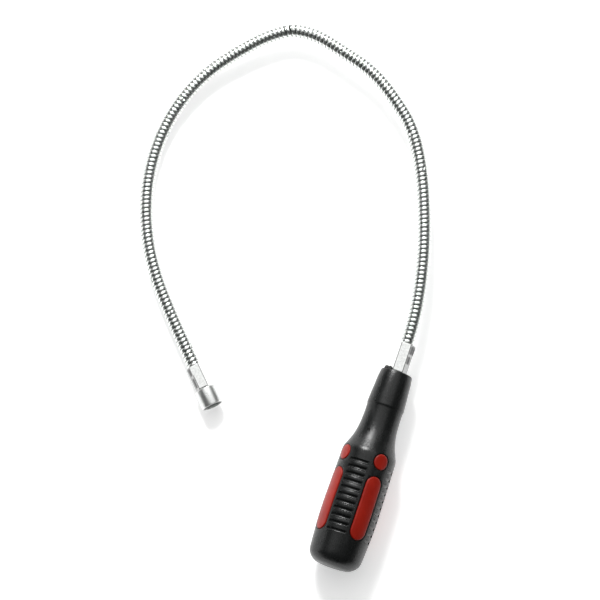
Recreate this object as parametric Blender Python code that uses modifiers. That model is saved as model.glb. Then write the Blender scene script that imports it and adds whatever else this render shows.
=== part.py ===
"""Flexible magnetic pick-up tool, lying on a flat surface. Metres, +Z up, +Y along the handle.

A rubber-covered handle carries a gooseneck of wound spring wire with a magnet at its far end.
The gooseneck is built as short tubes, each turning in the socket of the one before it.
"""
import bpy
from math import asin, cos, pi, radians, sin, sqrt
from mathutils import Matrix, Vector

MM = 0.001
GAP = 0.3 * MM                      # gap kept between neighbouring pieces
OVERLAP = 2 * MM                    # how far joined shapes run into each other
CUT_CLEAR = 1 * MM                  # how far a hole's cutter stands clear of the face it opens
WELD_DISTANCE = 0.00001             # points closer than this, in metres, are one point

# Where the tool lies: the middle of its footprint is the origin.
HANDLE_X = 78.0 * MM
BUTT_Y = -142.2 * MM

# Handle, heights along its own axis from the butt
HANDLE_LENGTH = 112.0 * MM
BODY_RADIUS = 15.7 * MM
HANDLE_SEGMENTS = 48
# Outer line of the rubber, (radius, height) in mm: collar, step, neck, shoulder, body, butt
GRIP_LINE = (
    (0.0, 112.0), (8.5, 112.0), (8.9, 111.4), (9.5, 107.0), (9.75, 102.6), (10.1, 98.3),
    (10.4, 92.6), (10.4, 91.7), (10.12, 91.1), (10.12, 87.0), (10.4, 80.9), (11.0, 76.5),
    (12.1, 72.1), (13.8, 67.8), (14.7, 65.6), (15.1, 63.4), (15.2, 58.0), (15.45, 46.0),
    (15.7, 33.0), (15.55, 23.0), (15.1, 15.5), (14.8, 10.5), (14.4, 6.5), (13.6, 4.4),
    (11.6, 2.2), (8.0, 0.6), (0.0, 0.0),
)
CORE_LINE = (
    (0.0, 107.0), (6.2, 107.0), (7.0, 106.2), (7.0, 77.5), (8.2, 73.5), (11.0, 66.5),
    (12.6, 62.5), (12.9, 33.0), (12.6, 15.5), (11.9, 8.0), (9.8, 4.6), (6.0, 3.3), (0.0, 3.3),
)

GROOVE_COUNT = 11
GROOVE_PITCH = 3.93 * MM
GROOVE_FIRST_Z = 18.8 * MM
GROOVE_RADIUS = 1.05 * MM
GROOVE_PROUD = 0.2 * MM             # a groove's round bed is centred this far outside the rubber
GROOVE_SPAN = radians(42)
GROOVE_STEPS = 6                    # straight parts of a groove's arc

PAD_ANGLES = [radians(a) for a in (30, 120, 210, 300)]   # round the handle, from its top
PAD_PROUD = 0.25 * MM
PAD_ROOT = 11.5 * MM                # the pads grow out of the core from this radius
LONG_PAD = (34.9 * MM, 35.4 * MM, 9.4 * MM)              # centre height, length, width
ROUND_PAD = (61.1 * MM, 8.6 * MM, 8.6 * MM)
PAD_END_STEPS = 8
PAD_SKIN_TOP = 70 * MM              # the pads' outer face follows the rubber between these heights
PAD_SKIN_BOTTOM = 14 * MM
PAD_SKIN_LINE = GRIP_LINE[13:21]

# Hexagonal ferrules: radius to the corners, length seen
HANDLE_HEX = 5.4 * MM
HANDLE_HEX_LENGTH = 16.7 * MM
SHANK_RADIUS = 3.5 * MM
SHANK_LENGTH = 24.0 * MM
TIP_HEX = 5.1 * MM
TIP_HEX_LENGTH = 14.0 * MM
SPIGOT_RADIUS = 2.5 * MM
SPIGOT_LENGTH = 2.2 * MM
HEX_CHAMFER = 0.5 * MM

# Gooseneck
NECK_RADIUS = 4.0 * MM
NECK_BORE = 2.2 * MM
NECK_SIDES = 14
SOCKET_RADIUS = NECK_RADIUS + GAP
SOCKET_LIP = 1.75 * MM              # a socket's mouth stops this far short of the joint's centre
SOCKET_EDGE = 3.75 * MM             # radius where the socket's inside meets its mouth
SOCKET_MIDDLE = 3.1 * MM            # radius half way down the socket's inside
SOCKET_BALL_STEPS = 16
BALL_RINGS = (1.0, 0.7, 0.36)       # rings on a section's ball end, as shares of its turn
SECTION_LENGTH = 21.4 * MM
SECTION_BENDS = (8, 5, 5, 4, 7, 15, 7, 18, 2, 29, 18, 6, 14, 13, 12, 12, 10, 10, 8, 2, 1)
KINKS = {7: 4, 11: 14}              # extra degrees at a joint, counted from the handle
RISE = radians(2.0)                 # the neck leaves the handle slightly uphill
LEAN = radians(-4.4)               # and its curve leans down to touch the surface
DEGREES_PER_RING = 8
PLUG_RADIUS = 3.5 * MM              # the last turns, crimped inside the tip ferrule
PLUG_LENGTH = 6.0 * MM

# Magnet and its cup
CUP_RADIUS = 6.1 * MM
CUP_LENGTH = 10.3 * MM
CUP_CHAMFER = 0.4 * MM
CAVITY_RADIUS = 5.1 * MM
CAVITY_DEPTH = 6.8 * MM
MAGNET_RADIUS = CAVITY_RADIUS - GAP
MAGNET_LENGTH = 5.3 * MM
ROUND_SEGMENTS = 32

for old in list(bpy.data.objects):
    bpy.data.objects.remove(old, do_unlink=True)

tool = bpy.data.collections.new("magnetic_pickup_tool")
cutters = bpy.data.collections.new("cutters")
bpy.context.scene.collection.children.link(tool)
bpy.context.scene.collection.children.link(cutters)


def material(name, colour, roughness, metallic):
    mat = bpy.data.materials.new(name)
    mat.use_nodes = True
    shader = mat.node_tree.nodes["Principled BSDF"]
    shader.inputs["Base Color"].default_value = (*colour, 1.0)
    shader.inputs["Roughness"].default_value = roughness
    shader.inputs["Metallic"].default_value = metallic
    mat.diffuse_color = (*colour, 1.0)
    return mat


RUBBER = material("black_rubber", (0.025, 0.027, 0.028), 0.55, 0.0)
RED = material("red_plastic", (0.52, 0.03, 0.02), 0.35, 0.0)
BRIGHT_PLATE = material("bright_plate", (0.78, 0.79, 0.78), 0.18, 1.0)
WIRE_PLATE = material("wound_wire_plate", (0.70, 0.72, 0.70), 0.25, 1.0)
SATIN_PLATE = material("satin_plate", (0.68, 0.69, 0.68), 0.35, 1.0)
MAGNET_DARK = material("magnet_dark", (0.10, 0.10, 0.11), 0.45, 0.6)


def add_object(name, mesh, mat):
    """A part when it has a material, otherwise a cutter."""
    obj = bpy.data.objects.new(name, mesh)
    if mat:
        mesh.materials.append(mat)
        tool.objects.link(obj)
    else:
        obj.hide_render = True
        obj.display_type = 'WIRE'
        cutters.objects.link(obj)
    return obj


def turned(name, profile, mat=None, segments=ROUND_SEGMENTS):
    """Solid turned about Z from (radius, height) points, outer side first, top to bottom."""
    mesh = bpy.data.meshes.new(name)
    edges = [(i, i + 1) for i in range(len(profile) - 1)]
    mesh.from_pydata([(r, 0, z) for r, z in profile], edges, [])
    obj = add_object(name, mesh, mat)
    screw = obj.modifiers.new("turn", 'SCREW')
    screw.axis = 'Z'
    screw.steps = segments
    screw.render_steps = segments
    screw.use_merge_vertices = True
    screw.merge_threshold = WELD_DISTANCE
    screw.use_smooth_shade = mat is not None
    return obj


def lofted(name, rings, mat=None, tube=False):
    """Skin over rings of equal size, its ends capped, or joined to each other in a tube."""
    count = len(rings[0])
    verts = [p for ring in rings for p in ring]
    faces = []
    for i in range(len(rings) - (0 if tube else 1)):
        a = i * count
        b = (i + 1) % len(rings) * count
        for k in range(count):
            n = (k + 1) % count
            faces.append((a + k, a + n, b + n, b + k))
    if not tube:
        faces.append(tuple(reversed(range(count))))
        faces.append(tuple(range(len(verts) - count, len(verts))))
    mesh = bpy.data.meshes.new(name)
    mesh.from_pydata(verts, [], faces)
    for face in mesh.polygons:
        face.use_smooth = tube
    return add_object(name, mesh, mat)


def curve_solid(name, lines, closed=False, bevel=0.0, extrude=0.0):
    """Cutter from poly lines: round bars, or flat outlines given a thickness."""
    curve = bpy.data.curves.new(name, 'CURVE')
    curve.dimensions = '2D' if extrude else '3D'
    curve.fill_mode = 'BOTH' if extrude else 'FULL'
    curve.extrude = extrude
    curve.bevel_depth = bevel
    curve.bevel_resolution = 1
    curve.use_fill_caps = bevel > 0
    for line in lines:
        spline = curve.splines.new('POLY')
        spline.points.add(len(line) - 1)
        for point, co in zip(spline.points, line):
            point.co = (*co, 1.0)
        spline.use_cyclic_u = closed
    holder = bpy.data.objects.new(name + "_curve", curve)
    cutters.objects.link(holder)
    bpy.context.view_layer.update()
    graph = bpy.context.evaluated_depsgraph_get()
    mesh = bpy.data.meshes.new_from_object(holder.evaluated_get(graph))
    bpy.data.objects.remove(holder, do_unlink=True)
    bpy.data.curves.remove(curve)
    obj = add_object(name, mesh, None)
    weld = obj.modifiers.new("weld", 'WELD')
    weld.merge_threshold = WELD_DISTANCE
    return obj


def boolean(target, other, operation='DIFFERENCE'):
    mod = target.modifiers.new(operation.lower(), 'BOOLEAN')
    mod.operation = operation
    mod.solver = 'EXACT'
    mod.object = other


def attach(obj, parent, placing=Matrix()):
    obj.parent = parent
    obj.matrix_basis = placing


# --- handle -------------------------------------------------------------------------------
def in_metres(line, proud=0.0):
    return [(r * MM + (proud if r > 0 else 0.0), z * MM) for r, z in line]


def grown(line, gap):
    """The same line moved outwards all round, ends included."""
    top = line[0][1]
    bottom = line[-1][1]
    return [(r + gap * (r > 0), z + gap * ((z == top) - (z == bottom))) for r, z in line]


def grip_radius(height):
    line = in_metres(GRIP_LINE)
    for (r_high, z_high), (r_low, z_low) in zip(line, line[1:]):
        if z_low <= height <= z_high:
            return r_low + (r_high - r_low) * (height - z_low) / (z_high - z_low)


def stadium(length, width, grow):
    """Round-ended outline in the plane, its long side along X."""
    half = (length - width) / 2
    radius = width / 2 + grow
    points = []
    for side in (1, -1):
        for k in range(PAD_END_STEPS + (half > 0)):
            a = pi * k / PAD_END_STEPS - pi / 2
            points.append((side * (half + radius * cos(a)), side * radius * sin(a), 0.0))
    return points


def round_handle(angle):
    """Turn about the handle's axis, with the angle counted from its top."""
    return Matrix.Rotation(angle - pi / 2, 4, 'Z')


def pad_prism(name, pad, angle, grow=0.0):
    """Prism standing out of the handle's side, from inside the core to clear of the rubber."""
    height, length, width = pad
    outer = BODY_RADIUS + OVERLAP
    prism = curve_solid(name, [stadium(length, width, grow)], closed=True,
                        extrude=(outer - PAD_ROOT) / 2)
    stand = Matrix.Translation(((PAD_ROOT + outer) / 2, 0, height))
    attach(prism, grip, round_handle(angle) @ stand @ Matrix.Rotation(pi / 2, 4, 'Y'))
    return prism


grip = turned("grip", in_metres(GRIP_LINE), RUBBER, HANDLE_SEGMENTS)
grip.matrix_basis = (Matrix.Translation((HANDLE_X, BUTT_Y, BODY_RADIUS))
                     @ Matrix.Rotation(-pi / 2, 4, 'X'))

hollow = turned("grip_hollow", grown(in_metres(CORE_LINE), GAP), None, HANDLE_SEGMENTS)
attach(hollow, grip)
boolean(grip, hollow)

core = turned("handle_core", in_metres(CORE_LINE), RED, HANDLE_SEGMENTS)
attach(core, grip)

pad_skin = turned("pad_skin", [(0.0, PAD_SKIN_TOP)] + in_metres(PAD_SKIN_LINE, PAD_PROUD)
                  + [(0.0, PAD_SKIN_BOTTOM)], None, HANDLE_SEGMENTS)
attach(pad_skin, grip)
for number, angle in enumerate(PAD_ANGLES, 1):
    for kind, pad in (("long", LONG_PAD), ("round", ROUND_PAD)):
        prism = pad_prism(f"{kind}_pad_{number}", pad, angle)
        boolean(prism, pad_skin, 'INTERSECT')
        boolean(core, prism, 'UNION')
        boolean(grip, pad_prism(f"{kind}_window_{number}", pad, angle, GAP))

# Round-bottomed grooves across the rubber between the columns of pads
groove_arcs = []
for angle in PAD_ANGLES:
    middle = angle - pi / 2 + pi / 4
    for k in range(GROOVE_COUNT):
        z = GROOVE_FIRST_Z + k * GROOVE_PITCH
        bed = grip_radius(z) + GROOVE_PROUD
        turns = [middle + GROOVE_SPAN * (t / GROOVE_STEPS - 0.5) for t in range(GROOVE_STEPS + 1)]
        groove_arcs.append([(bed * cos(t), bed * sin(t), z) for t in turns])
grooves = curve_solid("grooves", groove_arcs, bevel=GROOVE_RADIUS)
attach(grooves, grip)
boolean(grip, grooves)

hex_foot = HANDLE_LENGTH + GAP
shank_end = hex_foot - SHANK_LENGTH
shank_hole = turned("shank_hole", [(0.0, hex_foot), (SHANK_RADIUS + GAP, hex_foot),
                                   (SHANK_RADIUS + GAP, shank_end - GAP), (0.0, shank_end - GAP)])
attach(shank_hole, grip)
boolean(core, shank_hole)
boolean(grip, shank_hole)


# --- ferrules -----------------------------------------------------------------------------
def hexagon(radius, z):
    return [(radius * cos(k * pi / 3), radius * sin(k * pi / 3), z) for k in range(6)]


def hex_bar(name, radius, length):
    rings = [hexagon(radius - HEX_CHAMFER, 0.0), hexagon(radius, HEX_CHAMFER),
             hexagon(radius, length - HEX_CHAMFER), hexagon(radius - HEX_CHAMFER, length)]
    return lofted(name, rings, BRIGHT_PLATE)


mouth = hex_foot + HANDLE_HEX_LENGTH
handle_ferrule = hex_bar("handle_ferrule", HANDLE_HEX, HANDLE_HEX_LENGTH)
attach(handle_ferrule, grip, Matrix.Translation((0, 0, hex_foot)))
shank_top = hex_foot + OVERLAP
shank = turned("shank", [(0.0, shank_top), (SHANK_RADIUS, shank_top), (SHANK_RADIUS, shank_end),
                         (0.0, shank_end)])
attach(shank, grip)
boolean(handle_ferrule, shank, 'UNION')


def ball_line(radius, steps):
    return [(radius * sin(pi * k / steps), radius * cos(pi * k / steps)) for k in range(steps + 1)]


first_joint = mouth + SOCKET_LIP
socket_ball = turned("socket_ball", ball_line(SOCKET_RADIUS, SOCKET_BALL_STEPS))
attach(socket_ball, grip, Matrix.Translation((0, 0, first_joint)))
boolean(handle_ferrule, socket_ball)


# --- gooseneck ----------------------------------------------------------------------------
def along_arc(length, bend, s):
    """Frame on a section's centre line, s along it from its joint; Y runs along the line."""
    radius = length / bend
    return (Matrix.Translation((-radius, 0, 0)) @ Matrix.Rotation(bend * s / length, 4, 'Z')
            @ Matrix.Translation((radius, 0, 0)))


def ring(frame, radius, offset):
    turns = [2 * pi * k / NECK_SIDES for k in range(NECK_SIDES)]
    return [frame @ Vector((radius * cos(a), offset, -radius * sin(a))) for a in turns]


def section_rings(bend, plug):
    """Rings of one hollow section: ball end, outside, then socket or plug, then the bore."""
    start = Matrix()
    end = along_arc(SECTION_LENGTH, bend, SECTION_LENGTH)
    spans = max(2, round(abs(bend) / radians(DEGREES_PER_RING)))
    ball_end = asin(NECK_BORE / NECK_RADIUS) - pi / 2
    rings = []
    for share in BALL_RINGS:
        a = ball_end * share
        rings.append(ring(start, NECK_RADIUS * cos(a), NECK_RADIUS * sin(a)))
    last = SECTION_LENGTH - (GAP if plug else SOCKET_LIP)
    for k in range(spans + 1):
        rings.append(ring(along_arc(SECTION_LENGTH, bend, last * k / spans), NECK_RADIUS, 0))
    if plug:
        rings.append(ring(end, PLUG_RADIUS, -GAP))
        rings.append(ring(end, PLUG_RADIUS, PLUG_LENGTH))
        rings.append(ring(end, NECK_BORE, PLUG_LENGTH))
    else:
        radii = (SOCKET_EDGE, SOCKET_MIDDLE, NECK_BORE)
        rings += [ring(end, r, -sqrt(SOCKET_RADIUS ** 2 - r ** 2)) for r in radii]
    for k in range(spans - 1, 0, -1):
        rings.append(ring(along_arc(SECTION_LENGTH, bend, SECTION_LENGTH * k / spans),
                          NECK_BORE, 0))
    return rings


parent = handle_ferrule
placing = (Matrix.Translation((0, 0, first_joint - hex_foot))
           @ Matrix.Rotation(pi / 2 + RISE, 4, 'X') @ Matrix.Rotation(LEAN, 4, 'Y'))
for number, degrees in enumerate(SECTION_BENDS, 1):
    bend = radians(degrees)
    rings = section_rings(bend, number == len(SECTION_BENDS))
    section = lofted(f"gooseneck_section_{number:02d}", rings, WIRE_PLATE, tube=True)
    attach(section, parent, placing @ Matrix.Rotation(radians(KINKS.get(number, 0)), 4, 'Z'))
    parent = section
    placing = along_arc(SECTION_LENGTH, bend, SECTION_LENGTH)

# --- tip: local Z runs on towards the magnet ----------------------------------------------
at_tip = placing @ Matrix.Rotation(-pi / 2, 4, 'X')
tip_ferrule = hex_bar("tip_ferrule", TIP_HEX, TIP_HEX_LENGTH)
attach(tip_ferrule, parent, at_tip)
plug_hole = turned("plug_hole", [(0.0, PLUG_LENGTH + GAP), (PLUG_RADIUS + GAP, PLUG_LENGTH + GAP),
                                 (PLUG_RADIUS + GAP, -CUT_CLEAR), (0.0, -CUT_CLEAR)])
attach(plug_hole, tip_ferrule)
boolean(tip_ferrule, plug_hole)
spigot_end = TIP_HEX_LENGTH + GAP + SPIGOT_LENGTH
spigot_root = TIP_HEX_LENGTH - OVERLAP
spigot = turned("spigot", [(0.0, spigot_end), (SPIGOT_RADIUS, spigot_end),
                           (SPIGOT_RADIUS, spigot_root), (0.0, spigot_root)])
attach(spigot, tip_ferrule)
boolean(tip_ferrule, spigot, 'UNION')

floor = CUP_LENGTH - CAVITY_DEPTH
cup = turned("magnet_cup", [
    (0.0, floor), (CAVITY_RADIUS, floor), (CAVITY_RADIUS, CUP_LENGTH),
    (CUP_RADIUS - CUP_CHAMFER, CUP_LENGTH), (CUP_RADIUS, CUP_LENGTH - CUP_CHAMFER),
    (CUP_RADIUS, CUP_CHAMFER), (CUP_RADIUS - CUP_CHAMFER, 0.0), (SPIGOT_RADIUS + GAP, 0.0),
    (SPIGOT_RADIUS + GAP, SPIGOT_LENGTH + GAP), (0.0, SPIGOT_LENGTH + GAP)], SATIN_PLATE)
attach(cup, tip_ferrule, Matrix.Translation((0, 0, TIP_HEX_LENGTH + GAP)))

magnet_floor = floor + GAP
magnet = turned("magnet", [(0.0, magnet_floor + MAGNET_LENGTH),
                           (MAGNET_RADIUS, magnet_floor + MAGNET_LENGTH),
                           (MAGNET_RADIUS, magnet_floor), (0.0, magnet_floor)], MAGNET_DARK)
attach(magnet, cup)
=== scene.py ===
import math
from math import cos, pi, radians, sin

import bmesh
import bpy
from mathutils import Matrix, Vector


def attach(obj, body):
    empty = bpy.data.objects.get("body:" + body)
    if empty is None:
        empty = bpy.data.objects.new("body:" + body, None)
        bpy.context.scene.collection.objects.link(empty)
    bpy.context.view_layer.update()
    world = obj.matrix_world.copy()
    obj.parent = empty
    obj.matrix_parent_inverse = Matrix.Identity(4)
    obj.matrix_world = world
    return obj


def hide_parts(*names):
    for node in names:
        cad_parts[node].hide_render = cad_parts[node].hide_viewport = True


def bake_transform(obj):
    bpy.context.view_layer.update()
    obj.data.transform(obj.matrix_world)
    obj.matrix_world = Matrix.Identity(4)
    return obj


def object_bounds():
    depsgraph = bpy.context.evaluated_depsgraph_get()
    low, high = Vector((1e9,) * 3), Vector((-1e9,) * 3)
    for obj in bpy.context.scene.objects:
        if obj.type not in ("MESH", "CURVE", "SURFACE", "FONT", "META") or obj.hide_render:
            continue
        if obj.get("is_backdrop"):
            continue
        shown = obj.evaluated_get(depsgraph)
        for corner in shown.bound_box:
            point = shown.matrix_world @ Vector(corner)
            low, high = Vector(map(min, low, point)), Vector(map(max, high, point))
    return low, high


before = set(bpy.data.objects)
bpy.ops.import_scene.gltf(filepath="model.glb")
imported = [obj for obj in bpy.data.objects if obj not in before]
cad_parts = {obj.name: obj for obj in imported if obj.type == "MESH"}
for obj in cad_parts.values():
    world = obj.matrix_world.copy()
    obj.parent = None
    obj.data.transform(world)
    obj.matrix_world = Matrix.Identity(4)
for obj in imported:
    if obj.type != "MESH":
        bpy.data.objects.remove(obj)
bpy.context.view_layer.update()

MM = 0.001

# --- the tool's measures in mm; its sizes and places are the CAD model's --------------------
HANDLE_X = 78.0
BUTT_Y = -142.2
BODY_RADIUS = 15.7
COLLAR_TOP = 112.0
GAP = 0.3                           # kept between neighbouring pieces
# Outer lines of the rubber and of the core in it: (radius, height from the butt)
COLLAR_LINE = (
    (0.0, 112.0), (6.0, 112.0), (8.2, 112.0), (8.55, 111.93), (8.8, 111.7), (8.9, 111.4),
    (9.2, 109.2), (9.5, 107.0), (9.75, 102.6), (10.1, 98.3), (10.32, 94.0), (10.4, 92.6),
    (10.42, 92.2), (10.36, 91.85), (10.22, 91.6), (10.13, 91.3),
)
BODY_LINE = (
    (10.12, 90.6), (10.12, 87.0), (10.4, 80.9), (11.0, 76.5), (12.1, 72.1), (13.8, 67.8),
    (14.7, 65.6), (15.1, 63.4), (15.2, 58.0), (15.45, 46.0), (15.7, 33.0), (15.55, 23.0),
    (15.1, 15.5), (14.8, 10.5), (14.4, 6.5), (13.6, 4.4), (11.6, 2.2), (8.0, 0.6), (0.0, 0.0),
)
CORE_LINE = (
    (0.0, 107.0), (6.2, 107.0), (7.0, 106.2), (7.0, 77.5), (8.2, 73.5), (11.0, 66.5),
    (12.6, 62.5), (12.9, 33.0), (12.6, 15.5), (11.9, 8.0), (9.8, 4.6), (6.0, 3.3), (0.0, 3.3),
)
CORE_TOP = CORE_LINE[0][1]
CORE_FOOT = CORE_LINE[-1][1]
PAD_ANGLES = (30, 120, 210, 300)    # degrees round the handle from its top
LONG_PAD = (34.9, 35.4, 9.4)        # height, length, width
ROUND_PAD = (61.1, 8.6, 8.6)
PAD_ROOT = 11.5                     # radius that the pads grow from
PAD_PROUD = 0.22
PAD_INSETS = (1.2, 2.0, 2.9, 3.7)
PAD_MIDDLE = 0.12                   # the innermost ring stops this far from the pad's middle
# Edges of the pads and of their windows: outline growth, height over the rubber, fixed radius
PAD_EDGE = (
    (-0.02, 0, PAD_ROOT), (-0.02, -0.3, 0), (-0.06, -0.05, 0), (-0.18, 0.10, 0), (-0.38, 0.19, 0),
    (-0.62, PAD_PROUD, 0),
)
WINDOW_EDGE = (
    (0.22, 0, PAD_ROOT), (0.22, -0.55, 0), (0.26, -0.3, 0), (0.40, -0.12, 0), (0.62, -0.02, 0),
    (0.9, 0.12, 0), (1.3, 1.2, 0),
)
GROOVES = 11
GROOVE_PITCH = 3.93
GROOVE_FIRST = 18.8
GROOVE_SPAN = 44                    # degrees
GROOVE_TURN = 45                    # degrees from a column of pads to the middle of the grooves
GROOVE_STEPS = 16
GROOVE_FULL = 0.84                  # share of its half length over which a groove is full depth
GROOVE_END_LIFT = 0.12
# Section of a groove: along the handle, height over the rubber
GROOVE_SECTION = (
    (-1.45, 0.9), (-1.22, 0.06), (-1.03, -0.05), (-0.92, -0.28), (-0.78, -0.56), (-0.48, -0.82),
    (0.0, -0.9), (0.48, -0.82), (0.78, -0.56), (0.92, -0.28), (1.03, -0.05), (1.22, 0.06),
    (1.45, 0.9),
)
SHANK_HOLE = ((0.0, 114.0), (3.8, 114.0), (3.8, 88.0), (0.0, 88.0))
# Moulding mark on the handle's neck, and two nibs on the collar's end
MARK_LINE = ((0.0, 1.1), (0.7, 0.85), (1.0, 0.4), (1.1, 0.0), (1.0, -0.4), (0.7, -0.85), (0.0, -1.1))
MARK_ANGLE = -24.5
MARK_HEIGHT = 76.0
MARK_PROUD = 0.45
NIB_LINE = ((0.0, 1.8), (0.6, 1.7), (1.1, 1.3), (1.35, 0.6), (1.3, -0.2), (0.9, -0.7), (0.0, -0.9))
NIBS = ((-36, 1.0), (-58, 1.1))     # angle, size
NIB_RADIUS = 7.1

HEX_FOOT = 112.3
HANDLE_HEX = 5.4
HANDLE_HEX_LENGTH = 16.7
TIP_HEX = 5.1
TIP_HEX_LENGTH = 14.0
BORE = 4.1
BORE_FLOOR = 4.5                    # the handle ferrule's bore ends this far above its foot
TIP_BORE_FLOOR = 7.5
SHANK_RADIUS = 3.5
SHANK_LENGTH = 24.0
SOCKET_LIP = 1.75
FIRST_JOINT = HEX_FOOT + HANDLE_HEX_LENGTH + SOCKET_LIP
HEX_SOFT = 0.12                     # taken off the hexagon's corners
HEX_SHARES = (0.0, 0.035, 0.07, 0.11, 0.2, 0.35, 0.5, 0.65, 0.8, 0.89, 0.93, 0.965)
HEX_ROWS = 26
HEX_END = 0.5                       # length of a softened end
# The two softened ends: taken off the radius, distance from the end
HEX_FOOT_EDGE = ((0.35, 0.0), (0.08, 0.18), (0.0, HEX_END))
HEX_MOUTH_EDGE = ((0.0, HEX_END), (0.08, 0.18), (0.3, 0.0))
HEX_FLAT = 0.866                    # distance to a flat as a share of the corner radius
LIP_INSET = 0.28                    # the mouth's lip: in from the flats, and below the mouth
LIP_DEPTH = 0.05
FLARE = 0.04                        # the bore widens by this much at this depth
FLARE_DEPTH = 0.25
BORE_DEPTH = 0.6                    # from here down the bore is straight
DENT_POWER = 0.6                    # below 1, so that a dent has a flat bed and steep sides
# Crimped dents: angle, from height, to height, width, depth
HANDLE_DENTS = (
    (330, 10.8, 16.2, 2.6, 0.5), (326, 5.2, 10.4, 2.0, 0.4), (150, 11.2, 16.2, 2.3, 0.5),
)
TIP_DENTS = (
    (34, 8.6, 13.5, 2.4, 0.28), (30, 1.2, 8.0, 2.0, 0.4), (210, 8.4, 13.3, 2.2, 0.28),
)
HANDLE_SHADED_FLAT = 330                 # angle of the flat painted darker, as a shaded reflection
TIP_SHADED_FLAT = 30
SHADED_FLAT_HALF = 29                    # degrees either side of its middle
SHADED_FLAT_SHARE = 0.55                       # share of painted shade on that flat, where the bed of a dent is 1

SECTION = 21.4
BENDS = (8, 5, 5, 4, 7, 15, 7, 18, 2, 29, 18, 6, 14, 13, 12, 12, 10, 10, 8, 2, 1)
KINKS = {7: 4, 11: 14}              # extra degrees at a joint
RISE = 2.0
LEAN = -4.4

CUP_LENGTH = 10.3
CUP_RADIUS = 6.1
CUP_FLOOR = CUP_LENGTH - 6.8
CUP_LINE = (
    (0.0, 0.0), (CUP_RADIUS, 0.0), (CUP_RADIUS, CUP_LENGTH), (5.15, CUP_LENGTH), (5.1, CUP_FLOOR),
    (0.0, CUP_FLOOR),
)
CUP_EDGE = 0.45
MAGNET_LINE = ((0.0, 9.1), (4.8, 9.1), (4.8, 3.8), (0.0, 3.8))
MAGNET_EDGE = 0.35

GRIP_SEGMENTS = 160
CORE_SEGMENTS = 96
HOLE_SEGMENTS = 48
MARK_SEGMENTS = 16
NIB_SEGMENTS = 14
CUP_SEGMENTS = 96
MAGNET_SEGMENTS = 64
BODY_STEPS = 6                      # steps of the body's curve between its points
EDGE_STEPS = 4                      # steps round a softened corner of the cup or magnet
HANDLE_SMOOTH = 38                  # faces meeting at less than this many degrees look smooth
FERRULE_SMOOTH = 24
TIP_SMOOTH = 40

# --- the wound wires ----------------------------------------------------------------------
PITCH = 2.42
STEPS_PER_TURN = 20
INSIDE_HANDLE = 9.5                 # wound wire hidden in the handle's ferrule
INSIDE_TIP = 5.6


def node_tree(name):
    mat = bpy.data.materials.new(name)
    mat.use_nodes = True
    tree = mat.node_tree
    return mat, tree, tree.nodes["Principled BSDF"]


def noise(tree, scale, detail, rough=0.55, stretch=None):
    coords = tree.nodes.new("ShaderNodeTexCoord")
    tex = tree.nodes.new("ShaderNodeTexNoise")
    tex.inputs["Scale"].default_value = scale
    tex.inputs["Detail"].default_value = detail
    tex.inputs["Roughness"].default_value = rough
    if stretch:
        mapping = tree.nodes.new("ShaderNodeMapping")
        mapping.inputs["Scale"].default_value = stretch
        tree.links.new(coords.outputs["Object"], mapping.inputs["Vector"])
        tree.links.new(mapping.outputs["Vector"], tex.inputs["Vector"])
    else:
        tree.links.new(coords.outputs["Object"], tex.inputs["Vector"])
    return tex.outputs["Fac"]


def ramp(tree, fac, stops):
    node = tree.nodes.new("ShaderNodeValToRGB")
    elements = node.color_ramp.elements
    while len(elements) < len(stops):
        elements.new(0.5)
    for element, (position, colour) in zip(elements, stops):
        element.position = position
        if isinstance(colour, float):
            colour = (colour, colour, colour)
        element.color = (*colour, 1.0)
    tree.links.new(fac, node.inputs["Fac"])
    return node.outputs["Color"]


def mix(tree, fac, a, b):
    node = tree.nodes.new("ShaderNodeMix")
    node.data_type = 'RGBA'
    tree.links.new(fac, node.inputs["Factor"])
    for value, socket in ((a, node.inputs["A"]), (b, node.inputs["B"])):
        if isinstance(value, tuple):
            socket.default_value = (*value, 1.0)
        else:
            tree.links.new(value, socket)
    return node.outputs["Result"]


def attribute(tree, name):
    node = tree.nodes.new("ShaderNodeAttribute")
    node.attribute_name = name
    return node.outputs["Fac"]


def bump(tree, shader, height, distance):
    node = tree.nodes.new("ShaderNodeBump")
    node.inputs["Distance"].default_value = distance
    node.inputs["Strength"].default_value = 1.0
    tree.links.new(height, node.inputs["Height"])
    tree.links.new(node.outputs["Normal"], shader.inputs["Normal"])


def worn_plastic(name, base, worn, broad, grain, scuff, worn_from, roughness, specular, grain_depth):
    """Moulded rubber or plastic: broad tone, fine grain, and lengthwise scuffs that are paler."""
    mat, tree, shader = node_tree(name)
    tone = noise(tree, *broad)
    fine = noise(tree, *grain)
    scuffs = noise(tree, *scuff)
    base_colour = ramp(tree, tone, [(0.3, base[0]), (0.7, base[1])])
    share = ramp(tree, scuffs, worn_from)
    tree.links.new(mix(tree, share, base_colour, worn), shader.inputs["Base Color"])
    rough = ramp(tree, scuffs, [(0.3, roughness[0]), (0.75, roughness[1])])
    tree.links.new(rough, shader.inputs["Roughness"])
    shader.inputs["Specular IOR Level"].default_value = specular
    bump(tree, shader, fine, grain_depth)
    return mat


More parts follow.
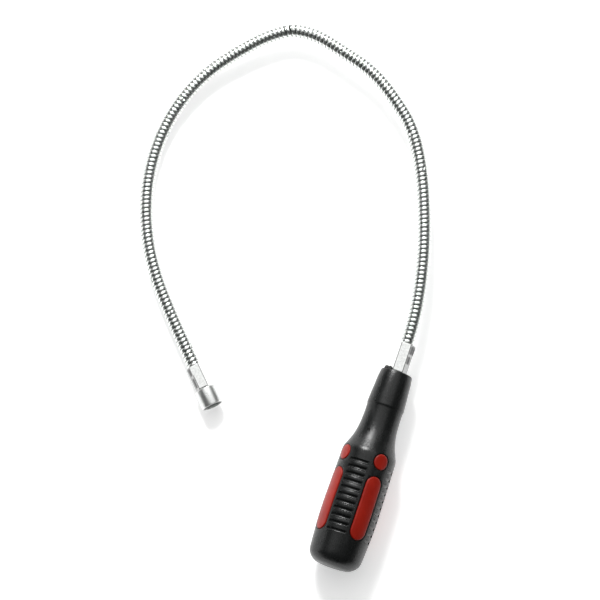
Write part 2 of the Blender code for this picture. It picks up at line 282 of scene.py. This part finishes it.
def plate_material(name, colour, rough, painted_shade_tint=None, grain_depth=0.00002):
    """Bright or satin plating, with fine marks, duller cloudy patches, and painted shade where a
    per-point mask asks for it.
    """
    mat, tree, shader = node_tree(name)
    shader.inputs["Metallic"].default_value = 1.0
    cloud = noise(tree, scale=130, detail=5, rough=0.6)
    fine = noise(tree, scale=900, detail=5, rough=0.65)
    marked = ramp(tree, fine, [(0.35, tuple(c * 0.86 for c in colour)), (0.65, colour)])
    patch = ramp(tree, cloud, [(0.55, 0.0), (0.8, 0.5)])
    shade = mix(tree, patch, marked, tuple(c * 0.8 for c in colour))
    # Painted shade: where the mask is set, the colour is mixed towards the dark tint.
    if painted_shade_tint:
        painted_shade_share = ramp(tree, attribute(tree, "painted_shade_mask"), [(0.15, 0.0), (0.8, 1.0)])
        shade = mix(tree, painted_shade_share, shade, painted_shade_tint)
    tree.links.new(shade, shader.inputs["Base Color"])
    tree.links.new(ramp(tree, cloud, [(0.3, rough[0]), (0.75, rough[1])]),
                   shader.inputs["Roughness"])
    bump(tree, shader, fine, grain_depth)
    return mat


RUBBER = worn_plastic(
    "moulded_rubber", base=((0.0045, 0.0050, 0.0050), (0.0085, 0.0092, 0.0092)),
    worn=(0.035, 0.036, 0.036), broad=(55, 5), grain=(2600, 3, 0.6),
    scuff=(240, 6, 0.7, (1.0, 0.35, 1.0)), worn_from=[(0.58, 0.0), (0.78, 0.5)],
    roughness=(0.21, 0.34), specular=0.40, grain_depth=0.00006)
RED = worn_plastic(
    "red_hard_plastic", base=((0.27, 0.008, 0.002), (0.35, 0.013, 0.004)),
    worn=(0.48, 0.06, 0.04), broad=(90, 4), grain=(1500, 3, 0.6),
    scuff=(420, 6, 0.7, (1.0, 0.3, 1.0)), worn_from=[(0.62, 0.0), (0.8, 0.4)],
    roughness=(0.30, 0.42), specular=0.36, grain_depth=0.00004)
# Their dark colours are painted shade for hollows, grooves and one ferrule flat.
CHROME = plate_material("bright_hex_plate", colour=(0.86, 0.87, 0.86), rough=(0.10, 0.22),
                        painted_shade_tint=(0.1, 0.1, 0.1))
WIRE = plate_material("plated_wire", colour=(0.87, 0.89, 0.87), rough=(0.16, 0.28),
                      painted_shade_tint=(0.20, 0.225, 0.21))
SATIN = plate_material("satin_cup_plate", colour=(0.80, 0.81, 0.80), rough=(0.26, 0.42),
                       grain_depth=0.00005)
MAGNET = plate_material("magnet_face", colour=(0.10, 0.10, 0.105), rough=(0.38, 0.55),
                        grain_depth=0.00006)


# --- mesh helpers ---------------------------------------------------------------------------
def add_object(name, mesh, mat):
    obj = bpy.data.objects.new(name, mesh)
    bpy.context.scene.collection.objects.link(obj)
    if mat:
        mesh.materials.append(mat)
    return obj


def new_object(name, verts, faces, mat, placing, painted_shade_mask=None, flat=()):
    """Object from points in mm; the optional per-point mask gives each point's share of painted shade,
    flat which faces are.
    """
    mesh = bpy.data.meshes.new(name)
    mesh.from_pydata([(placing @ Vector(v)) * MM for v in verts], [], faces)
    flat = set(flat)
    mesh.polygons.foreach_set("use_smooth", [i not in flat for i in range(len(faces))])
    # Per-point mask of painted shade, read by the plating materials.
    if painted_shade_mask is not None:
        layer = mesh.attributes.new("painted_shade_mask", 'FLOAT', 'POINT')
        layer.data.foreach_set("value", painted_shade_mask)
    return add_object(name, mesh, mat)


def loft(rings):
    """Points, faces between equal rings of points with the two ends capped, and the caps' places."""
    count = len(rings[0])
    end = (len(rings) - 1) * count
    faces = []
    for a in range(0, end, count):
        for k in range(count):
            n = (k + 1) % count
            faces.append((a + k, a + n, a + count + n, a + count + k))
    caps = [len(faces), len(faces) + 1]
    faces.append(tuple(reversed(range(count))))
    faces.append(tuple(range(end, end + count)))
    return [p for ring in rings for p in ring], faces, caps


def recalc(obj):
    work = bmesh.new()
    work.from_mesh(obj.data)
    bmesh.ops.recalc_face_normals(work, faces=work.faces)
    work.to_mesh(obj.data)
    work.free()


def lathe(name, profile, segments, mat, placing):
    """Solid of revolution about Z; the profile's ends are on the axis."""
    verts = [(0, 0, profile[0][1])]
    for r, z in profile[1:-1]:
        for k in range(segments):
            a = 2 * pi * k / segments
            verts.append((r * cos(a), r * sin(a), z))
    verts.append((0, 0, profile[-1][1]))
    faces = []
    rows = len(profile) - 2
    for k in range(segments):
        n = (k + 1) % segments
        faces.append((0, 1 + k, 1 + n))
        for i in range(rows - 1):
            a = 1 + i * segments
            b = a + segments
            faces.append((a + k, b + k, b + n, a + n))
        last = 1 + (rows - 1) * segments
        faces.append((last + k, len(verts) - 1, last + n))
    obj = new_object(name, verts, faces, mat, placing)
    recalc(obj)
    return obj


def spline(points, steps):
    """Catmull-Rom curve through (radius, height) points."""
    ends = [points[0], *points, points[-1]]
    out = []
    for p0, p1, p2, p3 in zip(ends, ends[1:], ends[2:], ends[3:]):
        for k in range(steps):
            t = k / steps
            out.append(tuple(
                0.5 * (2 * b + (c - a) * t + (2 * a - 5 * b + 4 * c - d) * t * t
                       + (3 * b - a - 3 * c + d) * t ** 3)
                for a, b, c, d in zip(p0, p1, p2, p3)))
    out.append(points[-1])
    return out


def rounded_line(points, radius):
    """The same open line with each inner corner rounded off."""
    out = [points[0]]
    for a, b, c in zip(points, points[1:], points[2:]):
        a, b, c = Vector(a), Vector(b), Vector(c)
        reach = min(radius, (a - b).length * 0.45, (c - b).length * 0.45)
        start = b + (a - b).normalized() * reach
        end = b + (c - b).normalized() * reach
        for k in range(EDGE_STEPS + 1):
            t = k / EDGE_STEPS
            out.append(tuple(start * (1 - t) ** 2 + b * 2 * t * (1 - t) + end * t * t))
    out.append(points[-1])
    return out


def apply_booleans(target, jobs):
    for operation, other in jobs:
        mod = target.modifiers.new("cut", 'BOOLEAN')
        mod.operation = operation
        mod.solver = 'EXACT'
        mod.object = other
    graph = bpy.context.evaluated_depsgraph_get()
    made = bpy.data.meshes.new_from_object(target.evaluated_get(graph))
    target.modifiers.clear()
    old = target.data
    target.data = made
    bpy.data.meshes.remove(old)
    for _, other in jobs:
        bpy.data.objects.remove(other, do_unlink=True)


def smooth_by_angle(obj, degrees):
    obj.data.shade_smooth()
    obj.data.set_sharp_from_angle(angle=radians(degrees))


def joined(name, shells):
    """One cutter on the handle from several closed shells of (verts, faces)."""
    work = bmesh.new()
    for shell_verts, shell_faces in shells:
        part = bmesh.new()
        made = [part.verts.new(v) for v in shell_verts]
        for face in shell_faces:
            part.faces.new([made[i] for i in face])
        bmesh.ops.recalc_face_normals(part, faces=part.faces)
        if part.calc_volume(signed=True) < 0:
            bmesh.ops.reverse_faces(part, faces=part.faces)
        bmesh.ops.transform(part, matrix=Matrix.Scale(MM, 4) @ HANDLE, verts=part.verts)
        mesh = bpy.data.meshes.new("shell")
        part.to_mesh(mesh)
        part.free()
        work.from_mesh(mesh)
        bpy.data.meshes.remove(mesh)
    mesh = bpy.data.meshes.new(name)
    work.to_mesh(mesh)
    work.free()
    return add_object(name, mesh, None)


# --- handle ---------------------------------------------------------------------------------
HANDLE = (Matrix.Translation((HANDLE_X, BUTT_Y, BODY_RADIUS)) @ Matrix.Rotation(-pi / 2, 4, 'X'))
body_curve = [(max(r, 0.0), max(z, 0.0)) for r, z in spline(BODY_LINE, BODY_STEPS)]
grip_line = list(COLLAR_LINE) + body_curve


def grip_radius(height):
    for (r_high, z_high), (r_low, z_low) in zip(grip_line, grip_line[1:]):
        if z_low <= height <= z_high and z_high > z_low:
            return r_low + (r_high - r_low) * (height - z_low) / (z_high - z_low)
    return BODY_RADIUS


def on_handle(angle, height, radius):
    """Point at an angle in degrees from the handle's top, towards +X."""
    a = radians(angle) - pi / 2
    return (radius * cos(a), radius * sin(a), height)


OUTLINE_STEPS = 12
OUTLINE_STEP = 1.2                  # mm between points on a pad's straight sides


def stadium(length, width, grow):
    """Outline points (along, across) of a round-ended shape."""
    half = (length - width) / 2
    radius = width / 2 + grow
    flat = max(1, round(half / OUTLINE_STEP)) if half > 0 else 0
    points = []
    for side in (1, -1):
        for k in range(OUTLINE_STEPS + 1):
            a = pi * k / OUTLINE_STEPS - pi / 2
            points.append((side * (half + radius * cos(a)), side * radius * sin(a)))
        for k in range(1, flat):
            points.append((side * half * (1 - 2 * k / flat), side * radius))
    return points


def conforming(pad, angle, levels):
    """Shell on the handle's side, one ring for each level, its ends closed by rows of quads."""
    height, length, width = pad
    rings = []
    for grow, lift, fixed in levels:
        ring = []
        for along, across in stadium(length, width, grow):
            z = height + along
            r = fixed if fixed else grip_radius(z) + lift
            turn = math.degrees(math.asin(across / BODY_RADIUS))
            ring.append(on_handle(angle + turn, z, r))
        rings.append(ring)
    verts, faces, _ = loft(rings)
    faces = faces[:-2]
    count = len(rings[0])
    tip = OUTLINE_STEPS // 2
    for base in (0, len(verts) - count):
        for i in range(tip, tip + count // 2):
            corners = []
            for c in (i, i + 1, 2 * tip - i - 1, 2 * tip - i):
                if base + c % count not in corners:
                    corners.append(base + c % count)
            faces.append(tuple(corners))
    return verts, faces


def pad_shells(levels_of):
    return [conforming(pad, angle, levels_of(pad))
            for angle in PAD_ANGLES for pad in (LONG_PAD, ROUND_PAD)]


def groove_shells():
    """Round-bottomed grooves with softened lips, fading out at their ends."""
    shells = []
    for angle in PAD_ANGLES:
        for k in range(GROOVES):
            z = GROOVE_FIRST + k * GROOVE_PITCH
            radius = grip_radius(z)
            rings = []
            for i in range(GROOVE_STEPS + 1):
                t = 2 * i / GROOVE_STEPS - 1
                fade = 1 - max(0.0, (abs(t) - GROOVE_FULL) / (1 - GROOVE_FULL)) ** 2
                turn = angle + GROOVE_TURN + GROOVE_SPAN / 2 * t
                ring = []
                for along, lift in GROOVE_SECTION:
                    lift = lift if lift > 0 else lift * fade
                    ring.append(on_handle(turn, z + along, radius + lift
                                          + GROOVE_END_LIFT * (1 - fade)))
                rings.append(ring)
            shells.append(loft(rings)[:2])
    return shells


def build_grip():
    grip = lathe("grip_rubber", grip_line, GRIP_SEGMENTS, RUBBER, HANDLE)
    inside = [(r + GAP * (r > 0), z + GAP * ((z == CORE_TOP) - (z == CORE_FOOT)))
              for r, z in CORE_LINE]
    mark_at = on_handle(MARK_ANGLE, MARK_HEIGHT, grip_radius(MARK_HEIGHT) + MARK_PROUD)
    jobs = [
        ('DIFFERENCE', lathe("hollow", inside, CORE_SEGMENTS, None, HANDLE)),
        ('DIFFERENCE', joined("windows", pad_shells(lambda pad: WINDOW_EDGE))),
        ('DIFFERENCE', joined("groove_cutters", groove_shells())),
        ('DIFFERENCE', lathe("mark", MARK_LINE, MARK_SEGMENTS, None,
                             HANDLE @ Matrix.Translation(mark_at))),
        ('DIFFERENCE', lathe("ferrule_hole", SHANK_HOLE, HOLE_SEGMENTS, None, HANDLE)),
    ]
    for angle, size in NIBS:
        line = [(r * size, z * size) for r, z in NIB_LINE]
        at = HANDLE @ Matrix.Translation(on_handle(angle, COLLAR_TOP, NIB_RADIUS))
        jobs.append(('UNION', lathe("nib", line, NIB_SEGMENTS, None, at)))
    apply_booleans(grip, jobs)
    smooth_by_angle(grip, HANDLE_SMOOTH)
    return grip


def pad_levels(pad):
    levels = list(PAD_EDGE)
    for inset in PAD_INSETS:
        levels.append((-inset, PAD_PROUD, 0))
    levels.append((-pad[2] / 2 + PAD_MIDDLE, PAD_PROUD, 0))
    return levels


def build_core():
    core = lathe("red_core", CORE_LINE, CORE_SEGMENTS, RED, HANDLE)
    pads = joined("pads", pad_shells(pad_levels))
    shank = lathe("shank_hole", SHANK_HOLE, HOLE_SEGMENTS, None, HANDLE)
    apply_booleans(core, [('UNION', pads), ('DIFFERENCE', shank)])
    core.data.materials.clear()
    core.data.materials.append(RED)
    smooth_by_angle(core, HANDLE_SMOOTH)
    return core


# --- ferrules ---------------------------------------------------------------------------------
def hex_radius(angle, corner):
    """Radius of a hexagon with softened corners; a corner lies at angle 0."""
    flat = corner * cos(pi / 6)
    part = (angle % (pi / 3)) - pi / 6
    return min(flat / cos(part), corner - HEX_SOFT)


def from_middle(angle, middle):
    """Degrees from a middle line, given in degrees, to an angle in radians."""
    return (math.degrees(angle) - middle + 180) % 360 - 180


def build_ferrule(name, corner, length, floor, dents, shaded_flat, placing, shank=0.0):
    """Hexagonal sleeve, open at its mouth, with crimped dents, painted shade in its bore and dent beds,
    and one flat painted darker as a shaded reflection.
    """
    rows = list(HEX_FOOT_EDGE)
    for k in range(1, HEX_ROWS):
        rows.append((0.0, HEX_END + (length - 2 * HEX_END) * k / HEX_ROWS))
    rows += [(shrink, length - depth) for shrink, depth in HEX_MOUTH_EDGE]
    turns = [(k + t) * pi / 3 for k in range(6) for t in HEX_SHARES]
    n = len(turns)
    verts = []
    painted_shade_mask = []
    for shrink, z in rows:
        for a in turns:
            r = hex_radius(a, corner) - shrink
            dent = 0.0
            # Painted shade: one flat is painted darker as a shaded reflection, and the dents' beds
            # darker still.
            hollow = SHADED_FLAT_SHARE if abs(from_middle(a, shaded_flat)) < SHADED_FLAT_HALF else 0.0
            for middle, low, high, width, depth in dents:
                across = corner * radians(from_middle(a, middle)) / width
                along = (z - (low + high) / 2) / ((high - low) / 2)
                share = max(0.0, 1 - max(across ** 2, along ** 4)) ** DENT_POWER
                dent = max(dent, depth * share)
                hollow = max(hollow, share)
            verts.append(((r - dent) * cos(a), (r - dent) * sin(a), z))
            painted_shade_mask.append(hollow)
    # The lip stays bright; painted shade is full down the bore below the flare.
    inner = [(corner * HEX_FLAT - LIP_INSET, length - LIP_DEPTH, 0.0),
             (BORE + FLARE, length - FLARE_DEPTH, 0.0), (BORE, length - BORE_DEPTH, 1.0),
             (BORE, floor, 1.0)]
    for r, z, hollow in inner:
        verts += [(r * cos(a), r * sin(a), z) for a in turns]
        painted_shade_mask += [hollow] * n
    last = (len(rows) + len(inner) - 1) * n
    faces = []
    for base in range(0, last, n):
        for k in range(n):
            m = (k + 1) % n
            faces.append((base + k, base + m, base + n + m, base + n + k))
    faces.append(tuple(range(last, last + n)))
    if shank:
        first = last + n
        for z in (0.0, -shank):
            verts += [(SHANK_RADIUS * cos(a), SHANK_RADIUS * sin(a), z) for a in turns]
            painted_shade_mask += [0.0] * n
        for k in range(n):
            m = (k + 1) % n
            faces.append((k, first + k, first + m, m))
            faces.append((first + k, first + n + k, first + n + m, first + m))
        faces.append(tuple(reversed(range(first + n, first + 2 * n))))
    else:
        faces.append(tuple(reversed(range(n))))
    obj = new_object(name, verts, faces, CHROME, placing, painted_shade_mask)
    recalc(obj)
    smooth_by_angle(obj, FERRULE_SMOOTH)
    return obj


# --- gooseneck --------------------------------------------------------------------------------
ROOT = (Matrix.Translation((HANDLE_X, BUTT_Y + FIRST_JOINT, BODY_RADIUS))
        @ Matrix.Rotation(radians(RISE), 4, 'X') @ Matrix.Rotation(radians(LEAN), 4, 'Y'))
FINE = 0.1                          # mm between points of the centre line
NECK_LENGTH = SECTION * len(BENDS)
SMOOTH = 20                         # a kink is spread over this many points each way


def centre_line():
    """Centre line in the arch's plane: heading and position every FINE mm, kinks softened."""
    before = int(INSIDE_HANDLE * 2 / FINE)
    after = int(INSIDE_TIP * 2 / FINE)
    count = round(NECK_LENGTH / FINE)
    heading = [0.0] * before
    for i in range(count + 1):
        s = i * FINE
        k = min(int(s / SECTION), len(BENDS) - 1)
        turned_by = sum(BENDS[:k]) + BENDS[k] * (s - k * SECTION) / SECTION
        turned_by += sum(v for joint, v in KINKS.items() if joint - 1 <= s / SECTION)
        heading.append(radians(turned_by))
    heading += [heading[-1]] * after
    total = [0.0]
    for h in heading:
        total.append(total[-1] + h)
    soft = []
    for i in range(len(heading)):
        low = max(0, i - SMOOTH)
        high = min(len(heading), i + SMOOTH + 1)
        soft.append((total[high] - total[low]) / (high - low))
    points = [(0.0, 0.0)]
    for a, b in zip(soft, soft[1:]):
        mid = (a + b) / 2
        x, y = points[-1]
        points.append((x - FINE * sin(mid), y + FINE * cos(mid)))
    x0, y0 = points[before]
    return before, soft, [(x - x0, y - y0) for x, y in points]


LINE_START, HEADING, POINTS = centre_line()


def neck_frame(s):
    """Position and axes of the centre line, s mm from the first joint."""
    at = LINE_START + s / FINE
    i = max(0, min(len(POINTS) - 2, int(at)))
    t = at - i
    x = POINTS[i][0] * (1 - t) + POINTS[i + 1][0] * t
    y = POINTS[i][1] * (1 - t) + POINTS[i + 1][1] * t
    h = HEADING[i] * (1 - t) + HEADING[i + 1] * t
    return (x, y), (cos(h), sin(h)), (-sin(h), cos(h))


# Sections of the two wires: (along the neck, from the axis, share of painted shade, fuller deeper in the
# groove)
BAND = ((-0.94, 3.70, 0.7), (-0.84, 3.86, 0.2), (-0.52, 3.96, 0.0), (-0.18, 4.0, 0.0),
        (0.18, 4.0, 0.0), (0.52, 3.96, 0.0), (0.84, 3.86, 0.2), (0.94, 3.70, 0.7),
        (0.45, 3.15, 1.0), (0.0, 2.85, 1.0), (-0.45, 3.15, 1.0))
ROUND_RADIUS = 0.80
ROUND_CENTRE = 2.78
ROUND_CORNERS = 12
ROUND_CROWN_SHADE = 0.45                   # painted shade already on the round wire's crown, which lies in the groove
SHADE_RISE = 1.5
# Painted shade on the round wire grows from its crown to its underside.
ROUND = []
for corner in range(ROUND_CORNERS):
    angle = 2 * pi * corner / ROUND_CORNERS
    ROUND.append((ROUND_RADIUS * sin(angle), ROUND_CENTRE + ROUND_RADIUS * cos(angle),
                  min(1.0, ROUND_CROWN_SHADE + (1 - cos(angle)) * SHADE_RISE)))
ROUND_OFFSET = PITCH / 2

OPEN_AT = 10 * SECTION - 3.8        # the turns at the sharp kink stand apart
OPEN_TURNS = 3
OPEN_BY = 1.7


def along_neck(k):
    """How far along the neck step k of the winding lies."""
    s = k * PITCH / STEPS_PER_TURN
    opened = min(1.0, max(0.0, (s - OPEN_AT) / (OPEN_TURNS * PITCH)))
    return s + OPEN_BY * opened * opened * (3 - 2 * opened)


def first_step(limit):
    """First step of the winding at or past a place along the neck."""
    k = math.floor((limit - OPEN_BY) / PITCH * STEPS_PER_TURN) - 1
    while along_neck(k) < limit:
        k += 1
    return k


def wire_shell(section, offset, low, high):
    """One wire wound round the neck from low to high along it."""
    first = first_step(low - offset)
    last = first_step(high - offset)
    rings = []
    deep = []
    for k in range(first, last + 1):
        s = along_neck(k) + offset
        turn = 2 * pi * k / STEPS_PER_TURN
        (x, y), (nx, ny), (tx, ty) = neck_frame(s)
        c = cos(turn)
        d = -sin(turn)
        ring = []
        for along, radius, hollow in section:
            ring.append((x + radius * c * nx + along * tx, y + radius * c * ny + along * ty,
                         radius * d))
            # each point keeps its section's share of painted shade
            deep.append(hollow)
        rings.append(ring)
    return (*loft(rings), deep)


def build_neck_piece(name, low, high):
    verts, faces, flat, deep = [], [], [], []
    for section, offset in ((BAND, 0.0), (ROUND, ROUND_OFFSET)):
        shell, shell_faces, caps, shell_deep = wire_shell(section, offset, low, high)
        base = len(verts)
        base_face = len(faces)
        verts += shell
        faces += [tuple(base + i for i in face) for face in shell_faces]
        flat += [base_face + i for i in caps]
        deep += shell_deep
    obj = new_object(name, verts, faces, WIRE, ROOT, deep, flat)
    recalc(obj)
    return obj


grip = build_grip()
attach(grip, "handle")
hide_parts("grip")
core = build_core()
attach(core, "handle")
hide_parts("handle_core")

handle_ferrule = build_ferrule("handle_ferrule_sleeve", HANDLE_HEX, HANDLE_HEX_LENGTH,
                               BORE_FLOOR, HANDLE_DENTS, HANDLE_SHADED_FLAT,
                               HANDLE @ Matrix.Translation((0, 0, HEX_FOOT)), SHANK_LENGTH)
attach(handle_ferrule, "handle")
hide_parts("handle_ferrule")

for number in range(1, len(BENDS) + 1):
    joint = (number - 1) * SECTION
    low = joint - SECTION / 2 if number > 1 else -INSIDE_HANDLE
    piece = build_neck_piece(f"gooseneck_wires_{number:02d}", low, joint + SECTION / 2)
    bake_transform(piece)
    stood = [f"gooseneck_section_{number:02d}"]
    if number > 1:
        stood.append(f"gooseneck_section_{number - 1:02d}")
    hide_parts(*stood)

last_piece = build_neck_piece("gooseneck_wires_end", NECK_LENGTH - SECTION / 2,
                              NECK_LENGTH + INSIDE_TIP)
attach(last_piece, "neck_21")
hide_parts("gooseneck_section_21")

# --- tip: local Z runs on towards the magnet --------------------------------------------------
(end_x, end_y), _, _ = neck_frame(NECK_LENGTH)
TIP = (ROOT @ Matrix.Translation((end_x, end_y, 0)) @ Matrix.Rotation(HEADING[-1], 4, 'Z')
       @ Matrix.Rotation(-pi / 2, 4, 'X'))
# The sleeve is made with its mouth up, so it is turned end for end
SLEEVE = TIP @ Matrix.Translation((0, 0, TIP_HEX_LENGTH)) @ Matrix.Rotation(pi, 4, 'X')
tip_ferrule = build_ferrule("tip_ferrule_sleeve", TIP_HEX, TIP_HEX_LENGTH, TIP_BORE_FLOOR,
                            TIP_DENTS, TIP_SHADED_FLAT, SLEEVE)
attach(tip_ferrule, "neck_21")
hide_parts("tip_ferrule")

CUP = TIP @ Matrix.Translation((0, 0, TIP_HEX_LENGTH + GAP))
cup = lathe("magnet_cup_shell", rounded_line(CUP_LINE, CUP_EDGE), CUP_SEGMENTS, SATIN, CUP)
smooth_by_angle(cup, TIP_SMOOTH)
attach(cup, "neck_21")
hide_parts("magnet_cup")
magnet = lathe("magnet_disc", rounded_line(MAGNET_LINE, MAGNET_EDGE), MAGNET_SEGMENTS, MAGNET,
               CUP)
smooth_by_angle(magnet, TIP_SMOOTH)
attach(magnet, "neck_21")
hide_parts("magnet")

# --- floor, light and camera --------------------------------------------------------------------
FLOOR_HALF = 6.0                    # metres from here on
FLOOR_DROP = 0.0001
FLOOR_GLOW = 0.52
WORLD_STRENGTH = 0.09
PHOTO_UP = Vector((-0.322, 0.947, 0.0))
PHOTO_RIGHT = Vector((0.947, 0.322, 0.0))
# Soft panels aimed at the origin: right and up in the picture, height, width, depth, radiance
PANELS = {
    "overhead": (-0.05, 0.50, 1.5, 2.3, 1.3, 1.0),
    "window": (-0.05, 1.45, 1.0, 1.4, 0.6, 4.2),
    "far_wall": (0.0, 2.3, 0.36, 3.4, 0.7, 1.1),
    "left_wall": (-1.7, 0.1, 0.11, 1.6, 0.22, 3.0),
    "key": (-0.16, 0.92, 0.95, 0.26, 0.26, 66.0),
}
CAMERA_AIM = Vector((0.0145, -0.0077, 0.010))
CAMERA_ELEVATION = radians(79)
CAMERA_DISTANCE = 1.3
CAMERA_LENS = 141.4                 # mm, on a sensor 36 mm wide

floor_mat, _, floor_shader = node_tree("pale_floor")
floor_shader.inputs["Base Color"].default_value = (0.90, 0.90, 0.90, 1.0)
floor_shader.inputs["Roughness"].default_value = 0.9
floor_shader.inputs["Specular IOR Level"].default_value = 0.1
floor_shader.inputs["Emission Color"].default_value = (1.0, 1.0, 1.0, 1.0)
floor_shader.inputs["Emission Strength"].default_value = FLOOR_GLOW
floor_mesh = bpy.data.meshes.new("floor")
floor_mesh.from_pydata([(-FLOOR_HALF, -FLOOR_HALF, 0), (FLOOR_HALF, -FLOOR_HALF, 0),
                        (FLOOR_HALF, FLOOR_HALF, 0), (-FLOOR_HALF, FLOOR_HALF, 0)], [],
                       [(0, 1, 2, 3)])
floor = add_object("floor", floor_mesh, floor_mat)
floor.location = (0, 0, -FLOOR_DROP)
floor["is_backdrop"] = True

world = bpy.data.worlds.new("studio")
world.use_nodes = True
world.node_tree.nodes["Background"].inputs["Color"].default_value = (0.95, 1.0, 0.97, 1.0)
world.node_tree.nodes["Background"].inputs["Strength"].default_value = WORLD_STRENGTH
bpy.context.scene.world = world

for name, (right, up, height, width, depth, radiance) in PANELS.items():
    light = bpy.data.lights.new(name, 'AREA')
    light.shape = 'RECTANGLE'
    light.size = width
    light.size_y = depth
    light.energy = radiance * pi * width * depth
    panel = bpy.data.objects.new(name, light)
    bpy.context.scene.collection.objects.link(panel)
    panel.location = PHOTO_RIGHT * right + PHOTO_UP * up + Vector((0, 0, height))
    z = panel.location.normalized()
    x = (PHOTO_RIGHT - z * PHOTO_RIGHT.dot(z)).normalized()
    panel.rotation_mode = 'QUATERNION'
    panel.rotation_quaternion = Matrix((x, z.cross(x), z)).transposed().to_quaternion()

camera_data = bpy.data.cameras.new("camera")
camera_data.sensor_width = 36.0
camera_data.lens = CAMERA_LENS
camera_data.clip_start = 0.05
camera_data.clip_end = 20.0
camera = bpy.data.objects.new("camera", camera_data)
bpy.context.scene.collection.objects.link(camera)
back = (-PHOTO_UP.normalized() * cos(CAMERA_ELEVATION)
        + Vector((0, 0, sin(CAMERA_ELEVATION))))
camera.location = CAMERA_AIM + back * CAMERA_DISTANCE
camera.rotation_mode = 'QUATERNION'
camera.rotation_quaternion = (-back).to_track_quat('-Z', 'Y')
bpy.context.scene.camera = camera
bpy.context.scene.view_settings.view_transform = 'Standard'

low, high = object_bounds()
